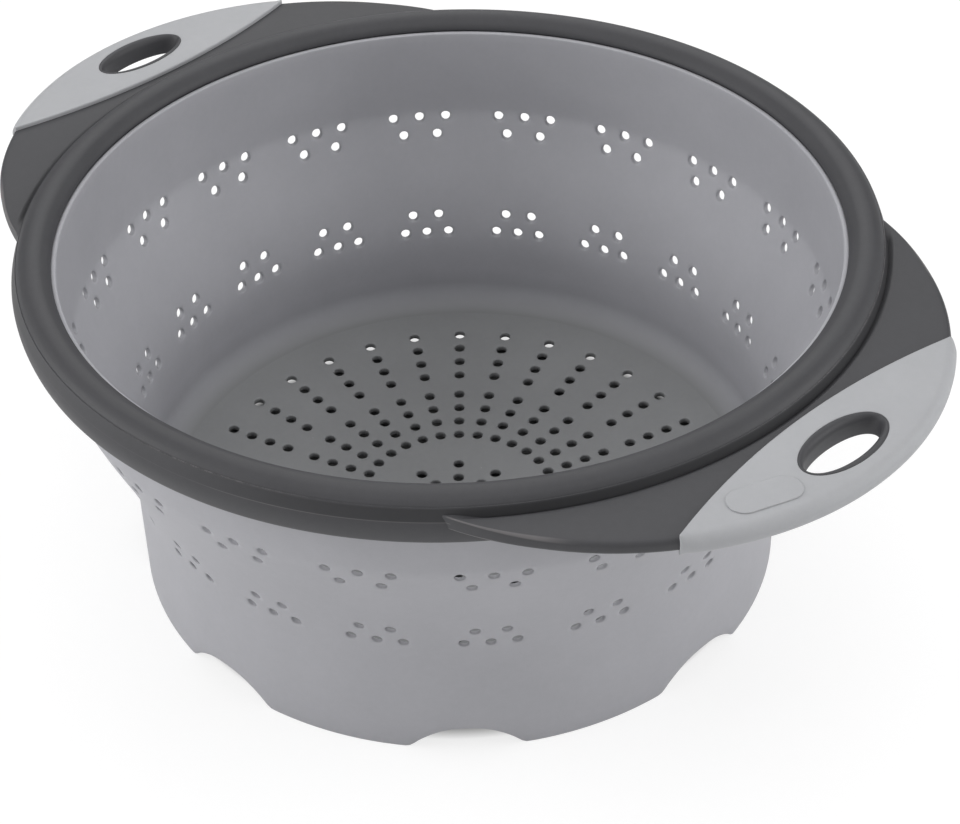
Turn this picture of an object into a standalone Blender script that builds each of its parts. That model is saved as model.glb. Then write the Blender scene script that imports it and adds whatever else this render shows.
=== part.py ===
"""Collapsible colander: a soft bowl with a folding band, a perforated floor plate, a two-part rim and two grips.

Metres, +Z up. The origin is on the table under the centre of the bowl, and +X runs through the right handle.
The bowl collapses along Z: the rim and all that it carries slide down round the foot, and the soft band
between the two creases turns inside out.
"""

import math

import bmesh
import bpy
from mathutils import Matrix, Vector

MM = 0.001

# Overall height, to the crest of the rim
RIM_HEIGHT = 124.5 * MM

# Bowl wall
CLEARANCE = 0.3 * MM
WALL = 1.8 * MM
FOOT_RADIUS = 106.2 * MM
FLARE_WIDTH = 16.8 * MM
LOWER_CREASE_HEIGHT = 42.3 * MM
LIP_DROP = 4.7 * MM
COLLAR_HEIGHT = 31.0 * MM

# Arches between the feet
ARCH_COUNT = 8
ARCH_TURN = math.radians(1.8)
ARCH_SPAN = 35.6 * MM
ARCH_HEIGHT = 8.4 * MM

# Floor plate, the ledge under it and the corner above it
FLOOR_THICKNESS = 2.0 * MM
FLOOR_CENTRE_HEIGHT = 8.9 * MM
FLOOR_DISH = 7.2 * MM
LEDGE_WIDTH = 6.0 * MM
CORNER_WIDTH = 5.4 * MM
CORNER_RADIUS = 9.0 * MM

# Drain holes of the wall, in groups of two rows below the upper crease and two above the lower one
HOLE_DIAMETER = 3.6 * MM
HOLE_SIDES = 5
GROUP_COUNT = 20
GROUP_TURN = math.radians(-2.9)
UPPER_ROW_DROP = 2.4 * MM
UPPER_ROW_SPACING = 6.1 * MM
LOWER_ROW_RISE = 4.0 * MM
LOWER_ROW_SPACING = 6.3 * MM
TOP_ROW_PITCH = 9.6 * MM
SECOND_ROW_PITCH = 12.2 * MM
THIRD_ROW_PITCH = 9.5 * MM
BOTTOM_ROW_PITCH = 8.0 * MM
LONG_ROW_COUNT = 3
SHORT_ROW_COUNT = 2

# Drain holes of the floor, in two runs along each radial line and short arms at the centre
LINE_COUNT = 32
RUN_COUNT = 4
RUN_START = 33.4 * MM
RUN_GAP = 10.1 * MM
RUN_MARGIN = 13.5 * MM
ARM_COUNT = 8
ARM_HOLE_COUNT = 2
ARM_START = 11.0 * MM
ARM_PITCH = 7.0 * MM

# Rim: a frame below and a domed cap above, with the bowl's tongue between them
RIM_DEPTH = 14.8 * MM
RIM_LIP_WIDTH = 2.3 * MM
CAP_WIDTH = 9.2 * MM
CAP_DEPTH = 7.5 * MM
STEP_DROP = 2.3 * MM
PARTING_DROP = 6.3 * MM
TONGUE_WIDTH = 6.0 * MM

# Wings of the frame
HANDLE_LENGTH = 32.9 * MM
WING_SPREAD = math.radians(44.5)
WING_THICKNESS = 4.2 * MM
WING_EDGE = 1.5 * MM
WING_TUCK = 1.5 * MM
GROOVE_WIDTH = 2.0 * MM
GROOVE_DEPTH = 1.5 * MM

# Grips, the eye through each of them and the bare badge on the right one
GRIP_PROUD = 1.3 * MM
GRIP_HALF_WIDTH = 60.0 * MM
GRIP_RIM_DISTANCE = 2.9 * MM
GRIP_END_WIDTH = 1.6 * MM
GRIP_END_INSET = 1.0 * MM
GRIP_END_RUN = 4.5 * MM
GRIP_EDGE_WALL = 3.3 * MM
EYE_EDGE_DISTANCE = 14.2 * MM
EYE_HALF_WIDTH = 15.3 * MM
EYE_HALF_DEPTH = 7.0 * MM
EYE_RING_WALL = 1.5 * MM
EYE_CHAMFER = 0.7 * MM
BADGE_LENGTH = 22.4 * MM
BADGE_WIDTH = 10.0 * MM
BADGE_RELIEF = 0.35 * MM
BADGE_EDGE_DISTANCE = 10.6 * MM
BADGE_EYE_DISTANCE = 3.9 * MM

# Outlines, as shares of the sizes that they follow
FLARE_SHARES = ((0, 0.03), (0.17, 0.13), (0.55, 0.51), (0.9, 0.925), (1, 1))
CAP_DOME_SHARES = ((1, 0.8), (0.87, 0.92), (0.6, 1), (0.28, 0.91), (0.07, 0.67), (0, 0.35))
RIM_SIDE_SHARES = ((0.17, 0), (0.7, 0.14), (1, 0.5), (0.93, 0.71), (0.35, 0.95), (0, 1))
FOOT_BEND_SHARE = 0.85
WING_ROOT_SHARE = 0.35
GRIP_ROUND_SHARE = 0.8
ARCH_SHARES = ((1, 0), (0.815, 0.38), (0.645, 0.63), (0.45, 0.845), (0.25, 0.965), (0, 1))

# Fineness, and how far every cutter runs past what it cuts
RING_STEPS = 64
WING_STEPS = 20
GRIP_STEPS = 22
ROUND_STEPS = 4
EYE_STEPS = 24
BADGE_STEPS = 5
CORNER_STEPS = 3
CREASE_ANGLE = math.radians(35)
OVERRUN = 4.0 * MM

# Places that follow from the sizes above
FOOT_INNER_RADIUS = FOOT_RADIUS - WALL
FLOOR_RADIUS = FOOT_INNER_RADIUS - CORNER_WIDTH
COLLAR_RADIUS = FOOT_RADIUS + FLARE_WIDTH
RIM_INNER_RADIUS = COLLAR_RADIUS + CLEARANCE
CAP_RADIUS = RIM_INNER_RADIUS + CAP_WIDTH
SEAT_RADIUS = CAP_RADIUS + CLEARANCE
RIM_RADIUS = SEAT_RADIUS + RIM_LIP_WIDTH
LIP_HEIGHT = RIM_HEIGHT - LIP_DROP
UPPER_CREASE_HEIGHT = LIP_HEIGHT - COLLAR_HEIGHT
RIM_BOTTOM_HEIGHT = RIM_HEIGHT - RIM_DEPTH
STEP_HEIGHT = RIM_HEIGHT - STEP_DROP
PARTING_HEIGHT = RIM_HEIGHT - PARTING_DROP
CAP_BOTTOM_HEIGHT = RIM_HEIGHT - CAP_DEPTH
SEAT_HEIGHT = CAP_BOTTOM_HEIGHT - CLEARANCE
GRIP_THICKNESS = WING_THICKNESS + 2 * GRIP_PROUD
HANDLE_REACH = RIM_RADIUS + HANDLE_LENGTH
EYE_REACH = HANDLE_REACH - EYE_EDGE_DISTANCE
WING_CENTRE = (HANDLE_REACH**2 - RIM_RADIUS**2) / (2 * (HANDLE_REACH - RIM_RADIUS * math.cos(WING_SPREAD)))
WING_RADIUS = HANDLE_REACH - WING_CENTRE
CORE_RADIUS = WING_RADIUS - GRIP_EDGE_WALL
GRIP_TURN = math.asin(GRIP_HALF_WIDTH / WING_RADIUS)
GRIP_REACH = RIM_RADIUS + GRIP_RIM_DISTANCE
GRIP_BEND = (WING_CENTRE + WING_RADIUS * math.cos(GRIP_TURN) - GRIP_END_WIDTH - GRIP_REACH) / GRIP_HALF_WIDTH**2


def plastic(name, colour, roughness):
    """A matte plastic finish, from an sRGB colour of 0 to 255."""
    made = bpy.data.materials.new(name)
    made.use_nodes = True
    shader = made.node_tree.nodes["Principled BSDF"]
    linear = [(level / 255) ** 2.2 for level in colour]
    shader.inputs["Base Color"].default_value = (*linear, 1)
    shader.inputs["Metallic"].default_value = 0
    shader.inputs["Roughness"].default_value = roughness
    return made


def place(name, shape):
    """Moves a closed bmesh into a new object of the scene, with its faces pointing out."""
    bmesh.ops.recalc_face_normals(shape, faces=shape.faces)
    mesh = bpy.data.meshes.new(name)
    shape.to_mesh(mesh)
    shape.free()
    made = bpy.data.objects.new(name, mesh)
    bpy.context.scene.collection.objects.link(made)
    return made


def piece(name, shape, surface):
    """A sub-part, its round faces shaded smooth and its edges left crisp."""
    made = place(name, shape)
    made.data.shade_smooth()
    made.data.set_sharp_from_angle(angle=CREASE_ANGLE)
    made.data.materials.append(surface)
    return made


def guide(name, shape):
    """A hidden body that only cuts or joins."""
    made = place(name, shape)
    made.hide_render = True
    made.display_type = "WIRE"
    return made


def boolean(target, operation, tool):
    """Adds an exact Boolean of the tool to the target."""
    step = target.modifiers.new(tool.name, "BOOLEAN")
    step.operation = operation
    step.solver = "EXACT"
    step.object = tool


def turned(outline):
    """A closed outline of (radius, height) spun one full turn about Z."""
    shape = bmesh.new()
    corners = [shape.verts.new((radius, 0, height)) for radius, height in outline]
    edges = [shape.edges.new((corners[i - 1], corners[i])) for i in range(len(corners))]
    bmesh.ops.spin(
        shape, geom=corners + edges, cent=(0, 0, 0), axis=(0, 0, 1), angle=math.tau, steps=RING_STEPS, use_merge=True
    )
    return shape


def skin(shape, levels):
    """Joins levels of points one to the next, each level a closed loop, and closes both ends with a face."""
    loops = [[shape.verts.new(point) for point in level] for level in levels]
    count = len(loops[0])
    for lower, upper in zip(loops, loops[1:]):
        for i in range(count):
            j = (i + 1) % count
            shape.faces.new((lower[i], lower[j], upper[j], upper[i]))
    shape.faces.new(loops[0][::-1])
    shape.faces.new(loops[-1])


def polar(angle, radius, height=0):
    """The point at an angle and a radius about Z."""
    return Vector((radius * math.cos(angle), radius * math.sin(angle), height))


def circle(radius, height):
    """A level loop of points about Z, set half a step round so that its edges pass between lines of holes."""
    return [polar(math.tau * (step + 1 / 2) / RING_STEPS, radius, height) for step in range(RING_STEPS)]


def ellipse(reach, half_width, half_depth, height):
    """A level loop of points round a handle's eye."""
    turns = [math.tau * step / EYE_STEPS for step in range(EYE_STEPS)]
    return [Vector((reach + half_depth * math.cos(turn), half_width * math.sin(turn), height)) for turn in turns]


def both_sides(levels):
    """The levels of a right-hand shape, and the same turned half way round for the left."""
    half_turn = Matrix.Rotation(math.pi, 4, "Z")
    return levels, [[half_turn @ point for point in level] for level in levels]


def interpolate(shares, at):
    """The value at a share of the way along a table, in straight runs."""
    for (start, low), (end, high) in zip(shares, shares[1:]):
        if at <= end:
            return low + (high - low) * (at - start) / (end - start)
    return shares[-1][1]


def flare_radius(height):
    """The outer radius of the soft wall at a height between the two creases."""
    share = (height - LOWER_CREASE_HEIGHT) / (UPPER_CREASE_HEIGHT - LOWER_CREASE_HEIGHT)
    return FOOT_RADIUS + interpolate(FLARE_SHARES, share) * (COLLAR_RADIUS - FOOT_RADIUS)


def floor_top(radius):
    """The height of the dished floor's upper face."""
    return FLOOR_CENTRE_HEIGHT + FLOOR_DISH * (radius / FLOOR_RADIUS) ** 2


def hole(shape, centre, along, length):
    """Adds the cutter of one drain hole."""
    turn = along.to_track_quat("Z", "Y").to_matrix().to_4x4()
    radius = HOLE_DIAMETER / 2
    bmesh.ops.create_cone(
        shape,
        cap_ends=True,
        segments=HOLE_SIDES,
        radius1=radius,
        radius2=radius,
        depth=length,
        matrix=Matrix.Translation(centre) @ turn,
    )


def arch_guide():
    """One rounded cutter for each arch, whose flanks run on below the foot."""
    half = ARCH_SPAN / 2
    places = [(half * across, ARCH_HEIGHT * up) for across, up in ARCH_SHARES]
    run = (half - places[1][0]) * OVERRUN / places[1][1]
    right = [(half + run, -OVERRUN)] + places[1:-1]
    outline = right + [places[-1]] + [(-side, up) for side, up in reversed(right)]
    near = FOOT_INNER_RADIUS - OVERRUN
    far = FOOT_RADIUS + OVERRUN
    shape = bmesh.new()
    for number in range(ARCH_COUNT):
        turn = Matrix.Rotation(ARCH_TURN + math.tau * number / ARCH_COUNT, 4, "Z")
        skin(shape, [[turn @ Vector((radius, side, up)) for side, up in outline] for radius in (near, far)])
    return guide("arch_cutter", shape)


def make_base(surface):
    """The foot wall with its arches, the bowl's rounded corner and the ledge that carries the floor plate."""
    edge_radius = FLOOR_RADIUS + CLEARANCE
    corner_centre = FOOT_INNER_RADIUS - CORNER_RADIUS
    end = math.acos((edge_radius - corner_centre) / CORNER_RADIUS)
    corner_height = floor_top(edge_radius) + CORNER_RADIUS * math.sin(end)
    ledge_radius = FLOOR_RADIUS - LEDGE_WIDTH
    ledge_drop = FLOOR_THICKNESS + CLEARANCE
    under_drop = ledge_drop + WALL
    bend_height = LOWER_CREASE_HEIGHT * FOOT_BEND_SHARE
    crease_radius = flare_radius(LOWER_CREASE_HEIGHT)
    outline = [
        (FOOT_RADIUS, 0),
        (FOOT_RADIUS, bend_height),
        (crease_radius, LOWER_CREASE_HEIGHT),
        (crease_radius - WALL, LOWER_CREASE_HEIGHT),
        (FOOT_INNER_RADIUS, bend_height),
    ]
    for step in range(CORNER_STEPS + 1):
        turn = end * step / CORNER_STEPS
        radius = corner_centre + CORNER_RADIUS * math.cos(turn)
        outline.append((radius, corner_height - CORNER_RADIUS * math.sin(turn)))
    outline += [
        (edge_radius, floor_top(edge_radius) - ledge_drop),
        (ledge_radius, floor_top(ledge_radius) - ledge_drop),
        (ledge_radius, floor_top(ledge_radius) - under_drop),
        (edge_radius, floor_top(edge_radius) - under_drop),
        (FOOT_INNER_RADIUS, floor_top(edge_radius) - under_drop),
        (FOOT_INNER_RADIUS, 0),
    ]
    base = piece("bowl_base", turned(outline), surface)
    boolean(base, "DIFFERENCE", arch_guide())


def make_floor(surface):
    """The dished floor plate, with radial lines of drain holes and short arms at its centre."""
    pitch = (FLOOR_RADIUS - RUN_MARGIN - RUN_GAP - RUN_START) / (2 * (RUN_COUNT - 1))
    run_end = RUN_START + pitch * (RUN_COUNT - 1)
    arm_end = ARM_START + ARM_PITCH * (ARM_HOLE_COUNT - 1)
    radii = [(arm_end + RUN_START) / 2, run_end + RUN_GAP / 2, FLOOR_RADIUS]
    under = [circle(radius, floor_top(radius) - FLOOR_THICKNESS) for radius in radii]
    upper = [circle(radius, floor_top(radius)) for radius in reversed(radii)]
    shape = bmesh.new()
    skin(shape, under + upper)
    plate = piece("bowl_floor", shape, surface)

    arms = [ARM_START + ARM_PITCH * number for number in range(ARM_HOLE_COUNT)]
    runs = [start + pitch * number for start in (RUN_START, run_end + RUN_GAP) for number in range(RUN_COUNT)]
    holes = bmesh.new()
    for count, places in ((ARM_COUNT, arms), (LINE_COUNT, runs)):
        for line in range(count):
            for radius in places:
                centre = polar(math.tau * line / count, radius, floor_top(radius) - FLOOR_THICKNESS / 2)
                hole(holes, centre, Vector((0, 0, 1)), FLOOR_THICKNESS + 2 * OVERRUN)
    boolean(plate, "DIFFERENCE", guide("floor_hole_cutter", holes))


def make_fold(surface):
    """The soft flared band between the creases, with its groups of drain holes."""
    start = LOWER_CREASE_HEIGHT + CLEARANCE
    rise = UPPER_CREASE_HEIGHT - start
    heights = [start + rise * share for share, _ in FLARE_SHARES]
    outer = [(flare_radius(height), height) for height in heights]
    inner = [(radius - WALL, height) for radius, height in reversed(outer)]
    fold = piece("bowl_fold", turned(outer + inner), surface)

    top_row = UPPER_CREASE_HEIGHT - UPPER_ROW_DROP
    bottom_row = LOWER_CREASE_HEIGHT + LOWER_ROW_RISE
    rows = (
        (top_row, TOP_ROW_PITCH, LONG_ROW_COUNT),
        (top_row - UPPER_ROW_SPACING, SECOND_ROW_PITCH, SHORT_ROW_COUNT),
        (bottom_row + LOWER_ROW_SPACING, THIRD_ROW_PITCH, SHORT_ROW_COUNT),
        (bottom_row, BOTTOM_ROW_PITCH, LONG_ROW_COUNT),
    )
    holes = bmesh.new()
    for group in range(GROUP_COUNT):
        middle = GROUP_TURN + math.tau * group / GROUP_COUNT
        for height, pitch, count in rows:
            radius = flare_radius(height)
            for number in range(count):
                turn = middle + (number - (count - 1) / 2) * pitch / radius
                centre = polar(turn, radius - WALL / 2, height)
                hole(holes, centre, polar(turn, 1), WALL + 2 * OVERRUN)
    boolean(fold, "DIFFERENCE", guide("wall_hole_cutter", holes))


def make_collar(surface):
    """The upright top band of the bowl, with the tongue that the rim clamps and the lip inside the rim."""
    inner = COLLAR_RADIUS - WALL
    tongue_radius = COLLAR_RADIUS + TONGUE_WIDTH
    outline = [
        (COLLAR_RADIUS, UPPER_CREASE_HEIGHT + CLEARANCE),
        (COLLAR_RADIUS, SEAT_HEIGHT - WALL),
        (tongue_radius, SEAT_HEIGHT - WALL),
        (tongue_radius, SEAT_HEIGHT),
        (COLLAR_RADIUS, SEAT_HEIGHT),
        (COLLAR_RADIUS, LIP_HEIGHT),
        (inner, LIP_HEIGHT),
        (inner, UPPER_CREASE_HEIGHT + CLEARANCE),
    ]
    piece("bowl_collar", turned(outline), surface)


def make_cap(surface):
    """The domed ring on top of the rim."""
    outline = [(RIM_INNER_RADIUS, CAP_BOTTOM_HEIGHT), (CAP_RADIUS, CAP_BOTTOM_HEIGHT)]
    for across, up in CAP_DOME_SHARES:
        outline.append((RIM_INNER_RADIUS + across * CAP_WIDTH, CAP_BOTTOM_HEIGHT + up * CAP_DEPTH))
    piece("rim_cap", turned(outline), surface)


def wing_point(turn, radius, height):
    """The point of a handle at a direction and a distance from the centre of the wing's outer arc."""
    return polar(turn, radius, height) + Vector((WING_CENTRE, 0, 0))


def grip_inner_radius(turn):
    """The distance from the wing arc's centre to the grip's inner edge, a parabola from its middle to its ends."""
    lead = GRIP_REACH - WING_CENTRE
    along = math.cos(turn)
    return 2 * lead / (along + math.sqrt(along**2 - 4 * GRIP_BEND * lead * math.sin(turn) ** 2))


def grip_outer_radius(turn):
    """The distance from the wing arc's centre to the grip's outer edge, drawn in by a part ellipse at its ends."""
    run = (GRIP_TURN - abs(turn)) * WING_RADIUS
    into = max(0, 1 - run / GRIP_END_RUN)
    return WING_RADIUS - GRIP_END_INSET * (1 - math.sqrt(1 - into**2))


def grip_inner_turn(radius):
    """The direction in which the grip's inner edge lies at a distance from the wing arc's centre."""
    bend = GRIP_BEND * radius**2
    lead = bend + GRIP_REACH - WING_CENTRE
    return math.acos(2 * lead / (radius + math.sqrt(radius**2 + 4 * bend * lead)))


def wing_outline(inset, height):
    """A level loop round one wing: its outer arc, which draws in towards the grip, and its root inside the rim."""
    meeting = (RIM_RADIUS**2 - WING_CENTRE**2 - WING_RADIUS**2) / (2 * WING_CENTRE * WING_RADIUS)
    tip_turn = math.acos(meeting) + CLEARANCE / WING_RADIUS
    step_turn = GRIP_TURN + CLEARANCE / WING_RADIUS
    core_turn = grip_inner_turn(CORE_RADIUS + CLEARANCE)
    side_steps = WING_STEPS // 4
    core_steps = WING_STEPS // 2
    side = []
    for step in range(side_steps + 1):
        share = step / side_steps
        side.append((tip_turn + (step_turn - tip_turn) * share, WING_RADIUS - WING_TUCK * share))
    side.append((step_turn, grip_inner_radius(step_turn) - CLEARANCE))
    core = [(core_turn * (1 - 2 * step / core_steps), CORE_RADIUS) for step in range(core_steps + 1)]
    outer = side + core + [(-turn, radius) for turn, radius in reversed(side)]

    root_radius = SEAT_RADIUS + WING_ROOT_SHARE * RIM_LIP_WIDTH
    corner = wing_point(tip_turn, WING_RADIUS, 0)
    root_end = math.atan2(corner.y, corner.x)
    loop = [wing_point(turn, radius - inset, height) for turn, radius in outer]
    loop += [polar(root_end * (2 * step / WING_STEPS - 1), root_radius, height) for step in range(WING_STEPS + 1)]
    return loop


def make_frame(surface):
    """The dark frame: the rim's outer ring and shelf, with a wing and an eye ring for each handle."""
    shelf_radius = COLLAR_RADIUS + TONGUE_WIDTH + CLEARANCE
    shelf_height = SEAT_HEIGHT - WALL - CLEARANCE
    outline = [
        (SEAT_RADIUS, SEAT_HEIGHT),
        (shelf_radius, SEAT_HEIGHT),
        (shelf_radius, shelf_height),
        (RIM_INNER_RADIUS, shelf_height),
        (RIM_INNER_RADIUS, RIM_BOTTOM_HEIGHT),
    ]
    for across, up in RIM_SIDE_SHARES:
        height = RIM_BOTTOM_HEIGHT + up * (STEP_HEIGHT - RIM_BOTTOM_HEIGHT)
        outline.append((SEAT_RADIUS + across * RIM_LIP_WIDTH, height))
    frame = piece("rim_frame", turned(outline), surface)

    half = WING_THICKNESS / 2
    wing_levels = []
    for side in (-1, 1):
        rounds = [(1 - math.cos(turn), 1 - math.sin(turn)) for turn in (math.pi / 2, 0)]
        levels = [
            wing_outline(WING_EDGE * away, PARTING_HEIGHT + side * (half - WING_EDGE * down)) for away, down in rounds
        ]
        wing_levels += levels if side < 0 else levels[::-1]
    wings = bmesh.new()
    for levels in both_sides(wing_levels):
        skin(wings, levels)
    wing_guide = guide("wing_body", wings)

    groove_bottom = PARTING_HEIGHT + half - GROOVE_DEPTH
    groove_end = RIM_RADIUS + GROOVE_WIDTH
    groove = turned(
        [
            (CAP_RADIUS, groove_bottom),
            (RIM_RADIUS, groove_bottom),
            (groove_end, PARTING_HEIGHT + half),
            (groove_end, RIM_HEIGHT),
            (CAP_RADIUS, RIM_HEIGHT),
        ]
    )
    boolean(wing_guide, "DIFFERENCE", guide("groove_cutter", groove))
    boolean(frame, "UNION", wing_guide)

    rings = bmesh.new()
    eyes = bmesh.new()
    half = GRIP_THICKNESS / 2
    neck = half - EYE_CHAMFER
    flare = EYE_CHAMFER + OVERRUN
    ring_levels = [
        ellipse(EYE_REACH, EYE_HALF_WIDTH + EYE_RING_WALL, EYE_HALF_DEPTH + EYE_RING_WALL, PARTING_HEIGHT + side)
        for side in (-half, half)
    ]
    eye_levels = [
        ellipse(EYE_REACH, EYE_HALF_WIDTH + wider, EYE_HALF_DEPTH + wider, PARTING_HEIGHT + side)
        for side, wider in ((-half - OVERRUN, flare), (-neck, 0), (neck, 0), (half + OVERRUN, flare))
    ]
    for levels in both_sides(ring_levels):
        skin(rings, levels)
    for levels in both_sides(eye_levels):
        skin(eyes, levels)
    boolean(frame, "UNION", guide("eye_ring_body", rings))
    boolean(frame, "DIFFERENCE", guide("eye_cutter", eyes))


def grip_section(turn):
    """One section of a grip at a direction from the wing arc's centre, with a full round along its outer edge."""
    half = GRIP_THICKNESS / 2
    inner = grip_inner_radius(turn)
    outer = grip_outer_radius(turn)
    round_width = min(half, GRIP_ROUND_SHARE * (outer - inner))
    points = [(inner, -half), (inner, half)]
    for step in range(ROUND_STEPS + 1):
        bend = math.pi * (1 / 2 - step / ROUND_STEPS)
        points.append((outer - round_width * (1 - math.cos(bend)), half * math.sin(bend)))
    return [wing_point(turn, radius, PARTING_HEIGHT + up) for radius, up in points]


def badge_level(height, inset):
    """A level loop of the bare stadium badge, which lies along the grip's outer edge."""
    end_radius = BADGE_WIDTH / 2 - inset
    half_run = (BADGE_LENGTH - BADGE_WIDTH) / 2
    radius = WING_RADIUS - BADGE_EDGE_DISTANCE
    eye_end = EYE_HALF_WIDTH + EYE_RING_WALL + CLEARANCE
    angle = -(eye_end + BADGE_EYE_DISTANCE + BADGE_LENGTH / 2) / radius
    middle = wing_point(angle, radius, height)
    turn = Matrix.Rotation(angle, 3, "Z")
    loop = []
    for side in (1, -1):
        for step in range(BADGE_STEPS + 1):
            bend = math.pi * step / BADGE_STEPS
            point = Vector((end_radius * math.cos(bend), half_run + end_radius * math.sin(bend), 0)) * side
            loop.append(middle + turn @ point)
    return loop


def make_grip(name, side, surface, badge=False):
    """A soft light grip moulded round the wing's edge, hollow for the wing and open at the eye."""
    turns = [-GRIP_TURN * math.cos(math.pi * step / GRIP_STEPS) for step in range(GRIP_STEPS + 1)]
    shape = bmesh.new()
    skin(shape, both_sides([grip_section(turn) for turn in turns])[side])
    grip = piece(name, shape, surface)

    half = WING_THICKNESS / 2 + CLEARANCE
    core = CORE_RADIUS + CLEARANCE
    wide = [turn * core / (core - OVERRUN) for turn in turns]
    pocket_levels = []
    for up in (-half, half):
        loop = [wing_point(turn, core, PARTING_HEIGHT + up) for turn in wide]
        loop += [wing_point(turn, core / 2, PARTING_HEIGHT + up) for turn in reversed(wide)]
        pocket_levels.append(loop)
    pocket = bmesh.new()
    skin(pocket, both_sides(pocket_levels)[side])
    boolean(grip, "DIFFERENCE", guide(name + "_pocket", pocket))

    width = EYE_HALF_WIDTH + EYE_RING_WALL + CLEARANCE
    depth = EYE_HALF_DEPTH + EYE_RING_WALL + CLEARANCE
    reach = GRIP_THICKNESS / 2 + OVERRUN
    eye_levels = [ellipse(EYE_REACH, width, depth, PARTING_HEIGHT + up) for up in (-reach, reach)]
    eye = bmesh.new()
    skin(eye, both_sides(eye_levels)[side])
    boolean(grip, "DIFFERENCE", guide(name + "_eye", eye))

    if badge:
        top = PARTING_HEIGHT + GRIP_THICKNESS / 2
        plate = bmesh.new()
        skin(plate, both_sides([badge_level(top - BADGE_RELIEF, 0), badge_level(top + BADGE_RELIEF, BADGE_RELIEF)])[side])
        boolean(grip, "UNION", guide(name + "_badge", plate))


def main():
    """Clears the scene and makes every sub-part."""
    for old in list(bpy.data.objects):
        bpy.data.objects.remove(old)
    soft = plastic("soft_grey", (150, 150, 155), 0.55)
    floor = plastic("floor_grey", (120, 121, 121), 0.5)
    dark = plastic("rim_charcoal", (92, 92, 95), 0.5)
    light = plastic("grip_light_grey", (178, 179, 183), 0.55)
    make_base(soft)
    make_floor(floor)
    make_fold(soft)
    make_collar(soft)
    make_cap(dark)
    make_frame(dark)
    make_grip("grip_right", 0, light, badge=True)
    make_grip("grip_left", 1, light)


main()
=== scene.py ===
import math

import bpy
import numpy as np
from mathutils import Matrix, Vector


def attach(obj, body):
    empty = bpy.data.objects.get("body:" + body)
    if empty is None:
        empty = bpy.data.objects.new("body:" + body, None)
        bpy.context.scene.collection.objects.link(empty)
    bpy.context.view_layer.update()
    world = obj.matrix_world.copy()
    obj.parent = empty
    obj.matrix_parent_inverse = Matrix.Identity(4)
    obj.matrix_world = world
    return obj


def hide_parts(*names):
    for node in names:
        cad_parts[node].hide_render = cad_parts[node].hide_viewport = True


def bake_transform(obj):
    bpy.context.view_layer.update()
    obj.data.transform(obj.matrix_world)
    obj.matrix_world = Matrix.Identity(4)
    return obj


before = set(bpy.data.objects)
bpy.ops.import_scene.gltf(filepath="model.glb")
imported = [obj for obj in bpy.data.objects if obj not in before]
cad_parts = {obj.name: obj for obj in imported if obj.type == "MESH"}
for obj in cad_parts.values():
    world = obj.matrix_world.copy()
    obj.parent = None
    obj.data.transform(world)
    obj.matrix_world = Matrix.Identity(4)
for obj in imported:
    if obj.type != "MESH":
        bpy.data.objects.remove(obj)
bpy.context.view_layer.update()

# Lengths are millimetres until a mesh is made. +Z is up and +X runs through the right handle.
MM = 0.001
TURN = 2 * math.pi
SOFT_SAMPLES = 15

# Soft bowl: the outer radius of its wall at heights from the table, and outlines of radius and height
WALL = 1.8
FOOT_RADIUS = 106.2
FOOT_INSIDE = 104.4
WALL_RADII = (
    (0, 106.2), (34, 106.2), (38, 106.3), (42, 106.7), (46, 107.5), (50, 108.5), (56, 110.4), (62, 112.5),
    (68, 114.9), (74, 117.5), (80, 120.0), (84, 121.5), (87, 122.6), (88.5, 123.0), (130, 123.0),
)
CREASE_SOFTNESS = 3.6
LIP_OUTLINE = ((122.92, 119.55), (122.7, 119.75), (122.1, 119.8), (121.5, 119.75), (121.28, 119.55))
CORNER_HEIGHT = 24.69
CORNER_RADIUS = 9.0
CORNER_BEND = math.radians(81.9)
CORNER_STEPS = 13
CORNER_LEAD = 1
LEDGE_OUTLINE = (
    (96.62, 15.777), (96.62, 15.771), (96.7, 15.779), (99.02, 16.115), (99.06, 15.7), (99.2, 13.9),
    (93.2, 12.95), (93.0, 12.8), (93.0, 11.35), (93.2, 11.2), (99.3, 12.0), (104.2, 12.0),
)

# Rows of the foot below these heights: share of the way up from its edge, radius, and height over the edge
FOOT_OUTER_TOP = 18
FOOT_INNER_TOP = 12
FOOT_OUTER_ROWS = ((0, 106.2, 0.5), (0.25, 106.2, 0.5), (0.5, 106.2, 0.5), (0.75, 106.2, 0.5))
FOOT_INNER_ROWS = (
    (0.6, 104.4, 0.5), (0.3, 104.4, 0.5), (0, 104.4, 0.5), (0, 104.55, 0.15), (0, 104.9, 0), (0, 105.7, 0),
    (0, 106.05, 0.15),
)

# Rows of wall holes: height, bottom and height of its block, turns from the group's middle, columns from it
BOWL_COLUMNS = 480
GROUP_COUNT = 20
GROUP_TURN = math.radians(-2.9)
WALL_HOLE_ROWS = (
    (86.4, 83.35, 6.1, (-4.476, 0, 4.476), (-6, 0, 6)),
    (80.3, 77.25, 6.1, (-2.908, 2.908), (-4, 4)),
    (52.6, 49.45, 6.3, (-2.493, 2.493), (-3, 3)),
    (46.3, 43.15, 6.3, (-4.243, 0, 4.243), (-6, 0, 6)),
)
BLOCK = 5
BLOCK_LEAD = 3
HEIGHT_SLACK = 0.01

# Heights of the wall between the blocks: first, last and how many
WALL_RUNS = ((18, 43.15, 8), (55.75, 77.25, 10), (89.45, 119.2, 9))

# Drain holes: radii, and the rounded edge as growth of the radius and depth
HOLE_RADIUS = 1.8
HOLE_OUTER = 1.58
HOLE_ROUND = 0.28
HOLE_EDGE_DEPTH = 0.4
HOLE_EDGE = ((HOLE_ROUND, 0), (0.12, 0.12), (0, HOLE_EDGE_DEPTH))

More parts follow.
